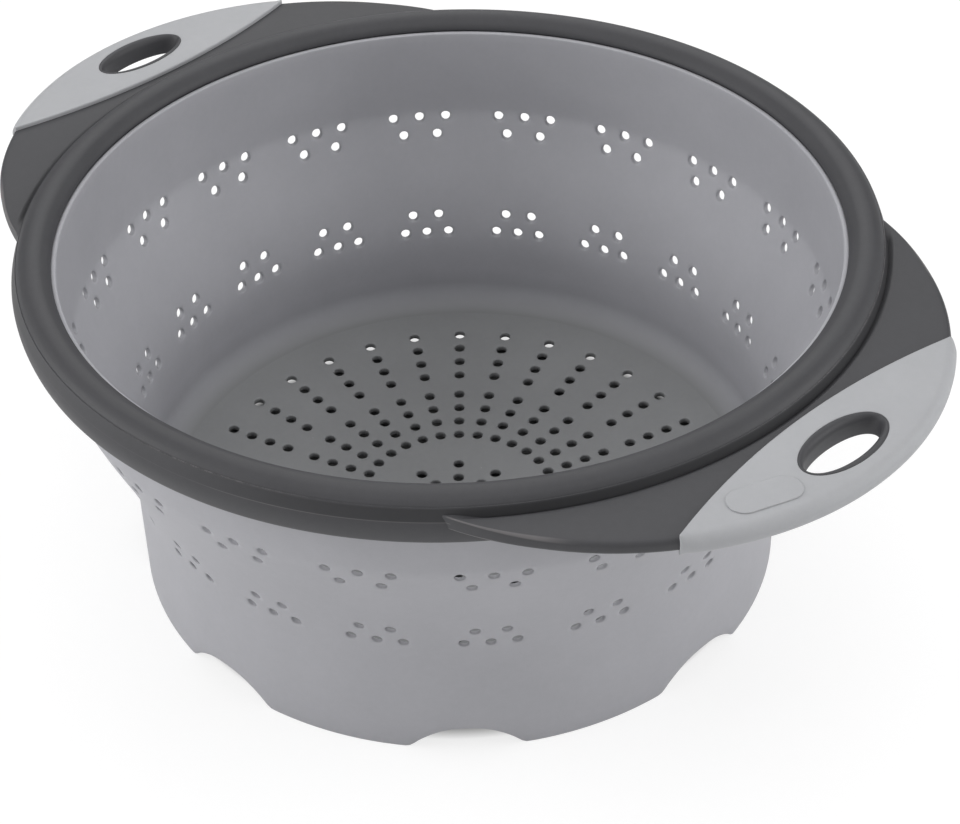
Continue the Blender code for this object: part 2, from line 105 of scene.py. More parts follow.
# Arches between the feet: heights at distances from the middle of an arch
ARCH_COUNT = 8
ARCH_TURN = math.radians(1.8)
ARCH_SHAPE = ((0, 8.4), (4.4, 8.1), (8.0, 7.1), (11.5, 5.3), (14.5, 3.2), (17.8, 0))
ARCH_SOFTNESS = 2.4

# Floor plate: its edge is given as radius and drop from the top
PLATE_RADIUS = 99.0
PLATE_THICKNESS = 2.0
PLATE_CENTRE = 8.9
PLATE_DISH = 7.2
PLATE_COLUMNS = 256
PLATE_EDGE = ((98.96, -0.03), (99.0, -0.12), (99.0, -1.6), (98.9, -1.88))
PLATE_RUNS = ((7.5, 21.5, 9), (21.5, 29.9, 5), (29.9, 57.9, 17), (61.0, 89.0, 17))
PLATE_OTHER_RADII = (0.4, 2.5, 5.0, 59.45, 91.5, 94.0, 96.5, 98.0, 98.6)
PLATE_BLOCK_ROWS = 4
PLATE_BLOCK_REACH = 3.4

# Rings of floor holes: radius, number of holes, columns across the block
PLATE_HOLE_RINGS = (
    (11.0, 8, 18), (18.0, 8, 12), (33.4, 32, 6), (40.4, 32, 6), (47.4, 32, 4), (54.4, 32, 4),
    (64.5, 32, 4), (71.5, 32, 4), (78.5, 32, 4), (85.5, 32, 4),
)

# Rim: outlines of radius and height, anticlockwise; the knots are joined by soft paths
RIM_COLUMNS = 512
DOME_SIDE = ((124.0, 117.0), (132.2, 117.0), (132.5, 117.3), (132.9, 120.0), (133.1, 122.0))
DOME_KNOTS = (
    (133.12, 122.1), (132.7, 122.66), (131.6, 123.56), (129.8, 124.3), (127.6, 124.42),
    (125.8, 123.95), (124.4, 123.03), (123.2, 121.98), (122.65, 121.0), (122.55, 120.35),
)
DOME_UNDER = ((122.65, 120.05), (122.9, 119.96), (123.3, 119.96), (123.3, 117.6), (123.5, 117.1))
BAND_BOTTOM = ((123.6, 109.65), (126.0, 109.6), (132.2, 109.6))
BAND_KNOTS = (
    (132.2, 109.6), (133.2, 109.75), (134.1, 110.8), (134.8, 113.2), (135.1, 115.4),
    (135.0, 117.2), (134.6, 118.8), (134.1, 120.2), (133.6, 121.5), (133.32, 122.14),
)
BAND_INSIDE = (
    (133.22, 122.2), (133.16, 122.2), (133.12, 122.14), (133.1, 122.0), (132.95, 117.0), (132.5, 116.8),
    (123.6, 116.8), (123.3, 116.5), (123.3, 109.9),
)
# Painted shade on the band's upper flank: heights where it rises and falls, its run, and the least radius
BAND_SHADE_HEIGHTS = (118.0, 121.6)
BAND_SHADE_RUN = 0.5
BAND_SHADE_RADIUS = 133.2
PATH_STEPS = (5, 4)

# Cosine of the angle from the handles where the band's shade starts, and its run
BAND_SHADE_FADE = (0.15, 0.5)

# Wings: the outer arc, the plate and its edge, and the groove where the top meets the rim
WING_CENTRE = 69.6
WING_RADIUS = 98.4
WING_TOP = 120.3
WING_BOTTOM = 116.1
WING_MIDDLE = 118.2
WING_EDGE = 1.5
WING_TIP_EDGE = 0.55
WING_TUCK = 1.5
WING_STEP = 0.3
LEAST_HALF = 0.05
WING_ROOT_RADIUS = 133.3
WING_TIP_RADIUS = 133.9
WING_COLUMNS = 221
WING_CROWDING = 0.46
WING_ROWS = 25
WING_ROW_CROWDING = 1.6
WING_UNDER_STEP = 6
WING_EDGE_STEPS = 6
ROUND_SHARE = 0.7
GROOVE_DEPTH = 1.3
GROOVE_RADIUS = 134.1
GROOVE_RUN = 2.2

# Along a wing's edge from its tip, start and run: the edge grows, the groove and its painted shade set in,
# the painted highlights on the edge end
EDGE_GROWTH = (6, 26)
OFF_TIP = (3, 14)
TOP_GLINT_END = (26, 14)
UNDER_GLINT_END = (12, 10)
GLINT_START = (1, 3)
TOP_GLINT_ROWS = slice(25, 28)
UNDER_GLINT_ROWS = slice(31, 34)

# Distance from the axis where the shade in the groove starts to fade, and its run
GROOVE_SHADE = (134.4, 1.4)

# Grips on the wings and the eye through both
GRIP_HALF = 3.4
GRIP_TURN = math.asin(60.0 / WING_RADIUS)
GRIP_LEAD = 138.0 - WING_CENTRE
GRIP_BEND = 0.00222
GRIP_COVER = 3.0
COVER_END = (GRIP_TURN - math.radians(0.7), math.radians(0.5))
GRIP_END_INSET = 1.1
GRIP_END_RUN = 4.8
GRIP_INNER_ROUND = 0.6
GRIP_INNER_SHARE = 0.2
GRIP_COLUMNS = 120
GRIP_CROWDING = 0.48
GRIP_ROWS = 20
GRIP_INNER_STEPS = 5
GRIP_OUTER_STEPS = 15
EYE_REACH = 153.4
EYE_HALVES = (16.8, 8.5)
EYE_NECK = (1.5, 2.7)
EYE_COLUMNS = 160
EYE_ROLL_STEPS = 9
EYE_ROLL_SHARE = 0.3
EYE_ROLL_HEIGHTS = (1.2, 2.25)
EYE_TOP = ((0, 0.3), (0, 3.28), (0.03, 3.4), (0.1, 3.46), (0.24, 3.46))
EYE_BOTTOM = (
    (1, 0), (1, -2.9), (0.97, -3.2), (0.85, -3.42), (0.7, -3.46), (0.1, -3.46), (0.03, -3.4), (0, -3.28),
)
EYE_BLOCK = (32, 15)
EYE_BLOCK_MARGIN = 4

# Rings of a grip's eye: share of the way in from the block, growth of the ellipse, height
GRIP_EYE_RINGS = (
    (0.5, 0.25, GRIP_HALF), (1, 0.25, GRIP_HALF), (1, 0.07, GRIP_HALF - 0.06), (1, 0.02, GRIP_HALF - 0.25),
    (1, 0.02, -GRIP_HALF + 0.25), (1, 0.07, -GRIP_HALF + 0.06),
    (1, 0.25, -GRIP_HALF), (0.5, 0.25, -GRIP_HALF),
)

# Bare raised plate: a stadium whose rings are drawn in as they rise
BADGE_REACH = WING_RADIUS - 10.6
BADGE_TURN = -math.radians(20.9)
BADGE_ROUND = 5.0
BADGE_HALF = 6.2
BADGE_STEPS = 25
BADGE_RINGS = (
    (0, 3.2), (0, 3.62), (0.06, 3.72), (0.2, 3.78), (0.5, 3.8), (2.0, 3.8), (4.0, 3.8), (4.9, 3.8),
)

# Colours of marks on the plastics, as sRGB levels
# Painted shade low inside the bowl's corner
CORNER_SHADE_GREY = (120, 121, 124)
LAP_GREY = (135, 136, 137)
# The parting line, and painted glints and highlights
SEAM_AND_GLINT_GREY = (150, 146, 146)
DUST_GREY = (190, 190, 190)
GRAIN_LIFT = 26
# Painted shade in holes, on the band's flank and in the wings' grooves: the dark colour's levels are
# multiplied by this
SHADE_DARKENING = 0.4
ROUGHNESS_SPREAD = 0.03

# Soft lights: name, place in metres, size in metres, watts
LIGHTS = (
    ("overhead", (0.0, 0.0, 1.6), 1.4, 8.4),
    ("back", (-1.0, 0.95, 1.1), 1.2, 8.5),
    ("left", (-0.95, -1.0, 0.8), 1.0, 12.0),
    ("right", (0.95, 1.0, 0.8), 1.0, 10.5),
    ("front", (1.0, -0.95, 1.0), 1.0, 4.0),
    ("low_left", (-0.32, -1.41, 0.45), 1.0, 2.8),
    ("low_right", (1.38, 0.42, 0.45), 1.0, 3.0),
)
LIGHT_TARGET = (0, 0, 0.1)
ROOM_LIGHT = 0.12

# Table, in metres from the axis: painted shade inside the first radius, open from the second; between two
# more its shadow, partly painted, fades out
UNDER_BOWL = (0.096, 0.1025)
SHADOW_FADE = (0.12, 0.24)
TABLE_SIZE = 12
# Greys and glows: the table's grey under the bowl and open, greys seen directly under, near and far, glows
# near and far; under the bowl low greys and no glow paint shade, and near it a dimmer glow paints the shadow
# stronger
TABLE_GREYS = (0.25, 0.86)
SEEN_GREYS = (0.2, 0.28, 0.14)
GLOWS = (0.77, 0.9)

# Camera, in pixels of the picture: where it stands right of, above and behind a point on the axis
CAMERA_TILT = 0.67982
CAMERA_ROLL = 0.03703
CAMERA_TURN = math.radians(46.9)
CAMERA_PLACE = (-5.814, 75.950, 2302.70)
CAMERA_POINT = (0, 0, 0.0143)
PIXELS_PER_MM = 2.98164
PICTURE = (960, 824)
PICTURE_CENTRE = (452.22, 411.27)
FOCAL_PIXELS = 2277.3
SENSOR = 36


def soft_path(knots, steps):
    """A smooth path through knots: each run between two is a cubic whose slopes follow their neighbours."""
    knots = np.asarray(knots, float)
    before, start, end, after = (
        np.vstack((knots[:1], knots[:-2])), knots[:-1], knots[1:], np.vstack((knots[2:], knots[-1:])),
    )
    at = (np.arange(steps) / steps)[:, None, None]
    cubic = (
        2 * start + (end - before) * at + (2 * before - 5 * start + 4 * end - after) * at**2
        + (3 * start - before - 3 * end + after) * at**3
    ) / 2
    return np.vstack((cubic.transpose(1, 0, 2).reshape(-1, 2), knots[-1:]))


def smoothed(value, start, run):
    """Nought up to a start, one after a run, and three squares less two cubes of the share between them."""
    at = np.clip((value - start) / run, 0, 1)
    return at * at * (3 - 2 * at)


def softened(distance, width, table):
    """A table's value at a distance, averaged over a width so that its corners are soft."""
    places, values = np.array(table).T
    spread = np.linspace(-width, width, SOFT_SAMPLES) / 2
    return np.interp(np.abs(np.asarray(distance)[..., None] + spread), places, values).mean(axis=-1)


def crowded(half, crowding, count):
    """Angles from minus a half to the half that crowd together towards both ends, as a sine does."""
    return half * np.sin(np.linspace(-crowding, crowding, count) * math.pi) / math.sin(crowding * math.pi)


def skin(levels):
    """Quads between each closed loop of point numbers and the next one."""
    levels = np.asarray(levels)
    after = np.roll(levels, -1, axis=-1)
    return np.stack((levels[:-1], after[:-1], after[1:], levels[1:]), axis=-1).reshape(-1, 4)


def fan(loop, centre):
    """Triangles from a closed loop of point numbers to one point."""
    return np.stack((loop, np.roll(loop, -1), np.full_like(loop, centre)), axis=-1)


def block_edge(height, width):
    """Row and column steps round the edge of a block of cells, anticlockwise from its first corner."""
    rows = np.r_[np.zeros(width), np.arange(height), np.full(width, height), np.arange(height, 0, -1)]
    columns = np.r_[np.arange(width), np.full(height, width), np.arange(width, 0, -1), np.zeros(height)]
    return rows.astype(int), columns.astype(int)


def cells(index, blocks):
    """Quads of a grid of point numbers closed round its columns, without the cells of the blocks.

    A block is its first rows, its first columns, and its height and width in cells.
    """
    after = np.roll(index, -1, axis=1)
    quads = np.stack((index[:-1], after[:-1], after[1:], index[1:]), axis=-1)
    kept = np.ones(quads.shape[:2], bool)
    for rows, columns, height, width in blocks:
        down = rows[:, None, None] + np.arange(height)[None, :, None]
        across = columns[:, None, None] + np.arange(width)[None, None, :]
        kept[down, across % index.shape[1]] = False
    return quads[kept]


def piece(name, points, faces, material, body, nodes=(), marks=None):
    """Makes a smooth mesh of points in millimetres and groups of faces, without the points that no face uses.

    Marks are named numbers from 0 to 1, one for each point, which the materials read.
    """
    corners = np.concatenate([group.ravel() for group in faces])
    sizes = np.concatenate([np.full(len(group), group.shape[1]) for group in faces])
    used, corners = np.unique(corners, return_inverse=True)
    mesh = bpy.data.meshes.new(name)
    mesh.vertices.add(len(used))
    mesh.vertices.foreach_set("co", (np.asarray(points)[used] * MM).ravel())
    mesh.loops.add(len(corners))
    mesh.loops.foreach_set("vertex_index", corners.ravel().astype(np.int32))
    mesh.polygons.add(len(sizes))
    mesh.polygons.foreach_set("loop_start", (np.cumsum(sizes) - sizes).astype(np.int32))
    mesh.update(calc_edges=True)
    mesh.validate()
    mesh.shade_smooth()
    mesh.materials.append(material)
    for label, values in (marks or {}).items():
        mark = mesh.attributes.new(label, "FLOAT", "POINT")
        mark.data.foreach_set("value", np.asarray(values, np.float32)[used])
    made = bpy.data.objects.new(name, mesh)
    bpy.context.scene.collection.objects.link(made)
    if body:
        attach(made, body)
    if nodes:
        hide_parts(*nodes)
    return made


def around(radius, angle, height):
    """Points at radii, angles and heights round the bowl's axis."""
    return np.stack(np.broadcast_arrays(radius * np.cos(angle), radius * np.sin(angle), height), axis=-1)


def wall_radius(height):
    """The wall's outer radius: the measured table, with soft creases."""
    return softened(height, CREASE_SOFTNESS, WALL_RADII)


def foot_edge(angle):
    """The height of the foot's bottom edge: nought on a foot, and an arch between two feet."""
    off = np.abs(((angle - ARCH_TURN) * ARCH_COUNT / TURN + 0.5) % 1 - 0.5) * TURN / ARCH_COUNT * FOOT_RADIUS
    return softened(off, ARCH_SOFTNESS, ARCH_SHAPE)


def hole_rings(far, first, last, thickness):
    """Rings of a drain hole through a sheet, each as radii, depth and shade.

    They start and end halfway to the block's edge, and lead through the hole over two rounded edges, of the
    first radius and of the last. The painted shade rises to one inside the hole.
    """
    middle = (HOLE_RADIUS + HOLE_ROUND + far) / 2
    wide = np.ones_like(far)
    rings = [(middle, 0)]
    rings += [(wide * (first + grow), depth) for grow, depth in HOLE_EDGE]
    rings += [(wide * (last + grow), thickness - depth) for grow, depth in HOLE_EDGE[::-1]]
    rings.append((middle, thickness))
    return [(ring, depth, min(min(depth, thickness - depth) / HOLE_EDGE_DEPTH, 1)) for ring, depth in rings]


def bowl_skin(material):
    """The soft bowl in one closed skin: a profile of radius and height carried round the axis.

    The profile runs up the outside, over the lip, down the inside, round the corner to a thin lap on the
    plate, over the ledge under the plate and down behind the foot. Each drain hole takes the place of a block
    of cells: rings lead from the block's edge to the hole's rounded edge, through the wall and out to the
    same block on the inside. The mark "shade" rises to one inside a hole.
    """
    angle = GROUP_TURN + TURN * (np.arange(BOWL_COLUMNS) + 0.5) / BOWL_COLUMNS
    edge = foot_edge(angle)
    step = np.linspace(0, 1, BLOCK + 1)
    runs = [np.linspace(*run) for run in WALL_RUNS]
    runs += [bottom + tall * step for _, bottom, tall, _, _ in WALL_HOLE_ROWS]
    heights = np.unique(np.round(np.concatenate(runs), 4))
    outer = wall_radius(heights)
    outside = np.stack((outer, heights), 1)
    inside = np.stack((outer - WALL, heights), 1)[heights > CORNER_HEIGHT + CORNER_LEAD][::-1]
    bend = np.linspace(0, CORNER_BEND, CORNER_STEPS)
    corner = np.stack((
        FOOT_INSIDE - CORNER_RADIUS + CORNER_RADIUS * np.cos(bend),
        CORNER_HEIGHT - CORNER_RADIUS * np.sin(bend),
    ), 1)
    fixed = np.vstack((outside, LIP_OUTLINE, inside, corner, LEDGE_OUTLINE))

    low, rise = np.array(FOOT_OUTER_ROWS), np.array(FOOT_INNER_ROWS)
    radius = np.concatenate((low[:, 1], fixed[:, 0], rise[:, 1]))[:, None]
    foot_out = edge + low[:, 2:] + low[:, :1] * (FOOT_OUTER_TOP - edge - low[:, 2:])
    foot_in = edge + rise[:, 2:] + rise[:, :1] * (FOOT_INNER_TOP - edge - rise[:, 2:])
    level = np.concatenate((foot_out, np.broadcast_to(fixed[:, 1:], (len(fixed), BOWL_COLUMNS)), foot_in))
    points = [around(radius, angle, level).reshape(-1, 3)]
    # The mark "shade" paints shade inside the holes
    shade = [np.zeros(level.size)]
    index = np.arange(level.size).reshape(level.shape)

    first = len(low)
    last_inside = first + 2 * len(heights) + len(LIP_OUTLINE) - 1
    count = level.size
    step_rows, step_columns = block_edge(BLOCK, BLOCK)
    blocks, faces = [], []
    for height, bottom, _, turns, columns in WALL_HOLE_ROWS:
        group = np.repeat(np.arange(GROUP_COUNT), len(turns))
        turn = GROUP_TURN + TURN * group / GROUP_COUNT + np.radians(np.tile(turns, GROUP_COUNT))
        column = group * BOWL_COLUMNS // GROUP_COUNT + np.tile(columns, GROUP_COUNT) - BLOCK_LEAD
        row = np.searchsorted(heights, bottom - HEIGHT_SLACK) + np.zeros_like(column)
        up = row[:, None] + step_rows
        across = (column[:, None] + step_columns) % BOWL_COLUMNS
        outside_edge = index[first + up, across]
        inside_edge = index[last_inside - up, across]
        blocks.append((first + row, column, BLOCK, BLOCK))
        blocks.append((last_inside - row - BLOCK, column, BLOCK, BLOCK))

        reach = wall_radius(height)
        off = GROUP_TURN + TURN * (column[:, None] + step_columns + 0.5) / BOWL_COLUMNS - turn[:, None]
        x = off * reach
        y = heights[up] - height
        far = np.hypot(x, y)
        levels = [outside_edge]
        for ring, depth, dark in hole_rings(far, HOLE_OUTER, HOLE_RADIUS, WALL):
            ring_height = height + y / far * ring
            ring_angle = turn[:, None] + x / far * ring / reach
            points.append(around(wall_radius(ring_height) - depth, ring_angle, ring_height).reshape(-1, 3))
            shade.append(np.full(far.size, dark))
            levels.append(count + np.arange(far.size).reshape(far.shape))
            count += far.size
        levels.append(inside_edge)
        faces.append(skin(levels))
    faces.insert(0, cells(np.vstack((index, index[:1])), blocks))
    made = piece(
        "soft_bowl", np.vstack(points), faces, material, None, ("bowl_base", "bowl_fold", "bowl_collar"),
        {"shade": np.concatenate(shade)},
    )
    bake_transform(made)
    return made


def plate_top(radius):
    """The height of the dished plate: its centre's height and a rise with the square of the radius."""
    return PLATE_CENTRE + PLATE_DISH * (radius / PLATE_RADIUS) ** 2


def floor_plate(material):
    """The dished floor plate: a profile from the middle of its underside round its edge to the top's middle.

    Each drain hole takes the place of a block of cells on both sides, as in the bowl's wall.
    """
    angle = TURN * np.arange(PLATE_COLUMNS) / PLATE_COLUMNS
    runs = [np.linspace(*run) for run in PLATE_RUNS] + [PLATE_OTHER_RADII]
    radii = np.unique(np.round(np.concatenate(runs), 4))
    edge = np.array(PLATE_EDGE)[::-1]
    under = np.stack((radii, plate_top(radii) - PLATE_THICKNESS), 1)
    side = np.stack((edge[:, 0], plate_top(edge[:, 0]) + edge[:, 1]), 1)
    upper = np.stack((radii, plate_top(radii)), 1)[::-1]
    outline = np.vstack((under, side, upper))
    points = [around(outline[:, :1], angle, outline[:, 1:]).reshape(-1, 3)]
    index = np.arange(len(outline) * PLATE_COLUMNS).reshape(len(outline), PLATE_COLUMNS)
    top_last = len(outline) - 1
    count = index.size
    # The mark "shade" paints shade inside the holes
    shade = [np.zeros(count)]

    blocks, faces = [], []
    for radius, number, width in PLATE_HOLE_RINGS:
        line = np.arange(number)
        column = line * PLATE_COLUMNS // number - width // 2
        outermost = np.searchsorted(radii, radius + PLATE_BLOCK_REACH)
        row = top_last - outermost + np.zeros_like(column)
        step_rows, step_columns = block_edge(PLATE_BLOCK_ROWS, width)
        down = row[:, None] + step_rows
        across = (column[:, None] + step_columns) % PLATE_COLUMNS
        top_edge = index[down, across]
        under_edge = index[top_last - down, across]
        blocks.append((row, column, PLATE_BLOCK_ROWS, width))
        blocks.append((top_last - row - PLATE_BLOCK_ROWS, column, PLATE_BLOCK_ROWS, width))

        turn = (TURN * line / number)[:, None]
        away = outline[down, 0]
        off = TURN * (column[:, None] + step_columns) / PLATE_COLUMNS - turn
        x = away * np.cos(off) - radius
        y = away * np.sin(off)
        far = np.hypot(x, y)
        levels = [top_edge]
        for ring, depth, dark in hole_rings(far, HOLE_RADIUS, HOLE_RADIUS, PLATE_THICKNESS):
            along = radius + x / far * ring
            aside = y / far * ring
            out = np.hypot(along, aside)
            points.append(around(out, turn + np.arctan2(aside, along), plate_top(out) - depth).reshape(-1, 3))
            shade.append(np.full(far.size, dark))
            levels.append(count + np.arange(far.size).reshape(far.shape))
            count += far.size
        levels.append(under_edge)
        faces.append(skin(levels))
    points.append(np.array([(0, 0, plate_top(0) - PLATE_THICKNESS), (0, 0, plate_top(0))]))
    shade.append(np.zeros(2))
    faces += [fan(index[0][::-1], count), fan(index[-1], count + 1)]
    faces.insert(0, cells(index, blocks))
    marks = {"shade": np.concatenate(shade)}
    return piece("drain_plate", np.vstack(points), faces, material, "base", ("bowl_floor",), marks)


def turned_ring(name, outline, material, nodes=(), shade=0.0):
    """A closed outline of radius and height, anticlockwise, carried once round the axis.

    The mark "shade" is painted shade: the given one for each point of the outline, fading away from the two
    wings.
    """
    angle = TURN * np.arange(RIM_COLUMNS) / RIM_COLUMNS
    points = around(outline[:, :1], angle, outline[:, 1:]).reshape(-1, 3)
    index = np.arange(len(points)).reshape(len(outline), RIM_COLUMNS)
    by_wing = smoothed(np.abs(np.cos(angle)), *BAND_SHADE_FADE)
    marks = {"shade": ((shade * np.ones(len(outline)))[:, None] * by_wing).ravel()}
    return piece(name, points, [skin(np.vstack((index, index[:1])))], material, "rim", nodes, marks)


def rim_cap(material):
    """The domed ring on top of the rim: a smooth arch from the band's top edge to over the lip."""
    outline = np.vstack((DOME_SIDE, soft_path(DOME_KNOTS, PATH_STEPS[0])[1:], DOME_UNDER))
    return turned_ring("rim_dome", outline, material, ("rim_cap",))


def rim_band(material):
    """The frame's outer ring: a steep bulging side, a fine top edge that stands proud, a round bottom."""
    outline = np.vstack((BAND_BOTTOM, soft_path(BAND_KNOTS, PATH_STEPS[1])[1:], BAND_INSIDE))
    radius, height = outline.T
    low, high = BAND_SHADE_HEIGHTS
    # Painted shade on the upper flank, under the dome's edge
    flank = smoothed(height, low, BAND_SHADE_RUN) * (1 - smoothed(height, high, BAND_SHADE_RUN))
    return turned_ring("rim_band", outline, material, shade=flank * (radius > BAND_SHADE_RADIUS))


def wing_spot(turn, radius, height, side):
    """Points at directions, distances and heights from the wing arc's centre; side is 1 right or -1 left."""
    return np.stack(np.broadcast_arrays(
        side * (WING_CENTRE + radius * np.cos(turn)), side * radius * np.sin(turn), height,
    ), axis=-1)


def wing(name, side, material):
    """One wing: a section carried along its outer arc, from a root inside the rim to a rounded edge.

    The top sinks a little where it meets the rim, except near the two tips. The edge is tight at the tips and
    rounder between them. Under the grip it steps back into the grip. A painted highlight mark is one on the
    edge's top and bottom rounds near the tips, and the painted shade mark "shade" rises to one in the groove.
    """
    meeting = (WING_TIP_RADIUS**2 - WING_CENTRE**2 - WING_RADIUS**2) / (2 * WING_CENTRE * WING_RADIUS)
    tip = math.acos(meeting)
    turn = crowded(tip, WING_CROWDING, WING_COLUMNS)
    open_edge = WING_RADIUS - WING_TUCK * np.clip((tip - np.abs(turn)) / (tip - GRIP_TURN), 0, 1)
    under = grip_inner(np.clip(turn, -GRIP_TURN, GRIP_TURN)) + GRIP_COVER
    hidden = 1 - smoothed(np.abs(turn), *COVER_END)
    reach = open_edge + (np.minimum(under, open_edge - WING_STEP) - open_edge) * hidden
    out = np.stack((WING_CENTRE + reach * np.cos(turn), reach * np.sin(turn)), -1)
    root_end = math.atan2(WING_RADIUS * math.sin(tip), WING_CENTRE + WING_RADIUS * math.cos(tip))
    root_turn = root_end * turn / tip
    root = np.stack((WING_ROOT_RADIUS * np.cos(root_turn), WING_ROOT_RADIUS * np.sin(root_turn)), -1)
    span = np.linalg.norm(out - root, axis=-1)
    from_tip = (tip - np.abs(turn)) * WING_RADIUS
    edge = WING_TIP_EDGE + (WING_EDGE - WING_TIP_EDGE) * smoothed(from_tip, *EDGE_GROWTH)
    round_width = np.minimum(edge, ROUND_SHARE * span)

    share = np.linspace(0, 1, WING_ROWS) ** WING_ROW_CROWDING
    bend = np.linspace(0, math.pi / 2, WING_EDGE_STEPS)
    flat = (span - round_width)[None, :]
    top_run = share[:, None] * flat
    under_run = top_run[::-WING_UNDER_STEP]
    edge_run = flat + round_width * np.sin(bend)[1:, None]
    run = np.vstack((top_run, edge_run, edge_run[::-1], under_run))
    fall = 1 - np.cos(bend)
    drop = np.concatenate((np.zeros(WING_ROWS), fall[1:]))[:, None] * edge
    low = np.concatenate((fall[:0:-1], np.zeros(len(under_run))))[:, None] * edge
    spot = root + run[..., None] * ((out - root) / span[:, None])
    away = np.linalg.norm(spot, axis=-1)
    off_tip = smoothed(from_tip, *OFF_TIP)
    groove = GROOVE_DEPTH * (1 - smoothed(away, GROOVE_RADIUS, GROOVE_RUN)) * off_tip
    # Painted highlights on the top and bottom rounds of the edge near the tips
    edge_glint = np.zeros(away.shape)
    edge_glint[TOP_GLINT_ROWS] = 1 - smoothed(from_tip, *TOP_GLINT_END)
    edge_glint[UNDER_GLINT_ROWS] = 1 - smoothed(from_tip, *UNDER_GLINT_END)
    edge_glint *= smoothed(from_tip, *GLINT_START)
    top = WING_TOP - drop - groove[:len(drop)]
    height = np.vstack((np.maximum(top, WING_MIDDLE + LEAST_HALF), WING_BOTTOM + low))
    points = np.concatenate((side * spot, height[..., None]), axis=-1).transpose(1, 0, 2)
    index = np.arange(points.shape[0] * points.shape[1]).reshape(points.shape[:2])
    ends = np.stack((points[0].mean(axis=0), points[-1].mean(axis=0)))
    faces = [skin(index), fan(index[0][::-1], index.size), fan(index[-1], index.size + 1)]
    # Painted shade in the groove
    shade = (1 - smoothed(away, *GROOVE_SHADE)) * off_tip
    marks = {"edge_glint": np.r_[edge_glint.T.ravel(), 0, 0], "shade": np.r_[shade.T.ravel(), 0, 0]}
    return piece(name, np.vstack((points.reshape(-1, 3), ends)), faces, material, "rim", marks=marks)


def eye_ring(name, side, material):
    """The dark ring round a hand hole: a section that is carried round an ellipse.

    From a narrow flat on top it rolls over into the hole, down to a neck that runs straight to the bottom.
    The neck draws in by different lengths along the ellipse's two axes. The section is given by how far a
    point is from the outside towards the neck, as a share, and its height.
    """
    roll = np.linspace(0, math.pi / 2, EYE_ROLL_STEPS)
    low, rise = EYE_ROLL_HEIGHTS
    rolled = np.stack((EYE_ROLL_SHARE + (1 - EYE_ROLL_SHARE) * np.sin(roll), low + rise * np.cos(roll)), 1)
    section = np.vstack((EYE_TOP, rolled, EYE_BOTTOM))
    turn = TURN * np.arange(EYE_COLUMNS) / EYE_COLUMNS
    share = section[:, :1]
    points = np.stack(np.broadcast_arrays(
        side * (EYE_REACH + (EYE_HALVES[1] - EYE_NECK[1] * share) * np.cos(turn)),
        side * (EYE_HALVES[0] - EYE_NECK[0] * share) * np.sin(turn), WING_MIDDLE + section[:, 1:],
    ), axis=-1).reshape(-1, 3)
    index = np.arange(len(points)).reshape(len(section), EYE_COLUMNS)
    return piece(name, points, [skin(np.vstack((index, index[:1])))], material, "rim")


def grip_inner(turn):
    """The distance from the wing arc's centre to the grip's inner edge, which is a parabola."""
    along = np.cos(turn)
    return 2 * GRIP_LEAD / (along + np.sqrt(along**2 - 4 * GRIP_BEND * GRIP_LEAD * np.sin(turn) ** 2))


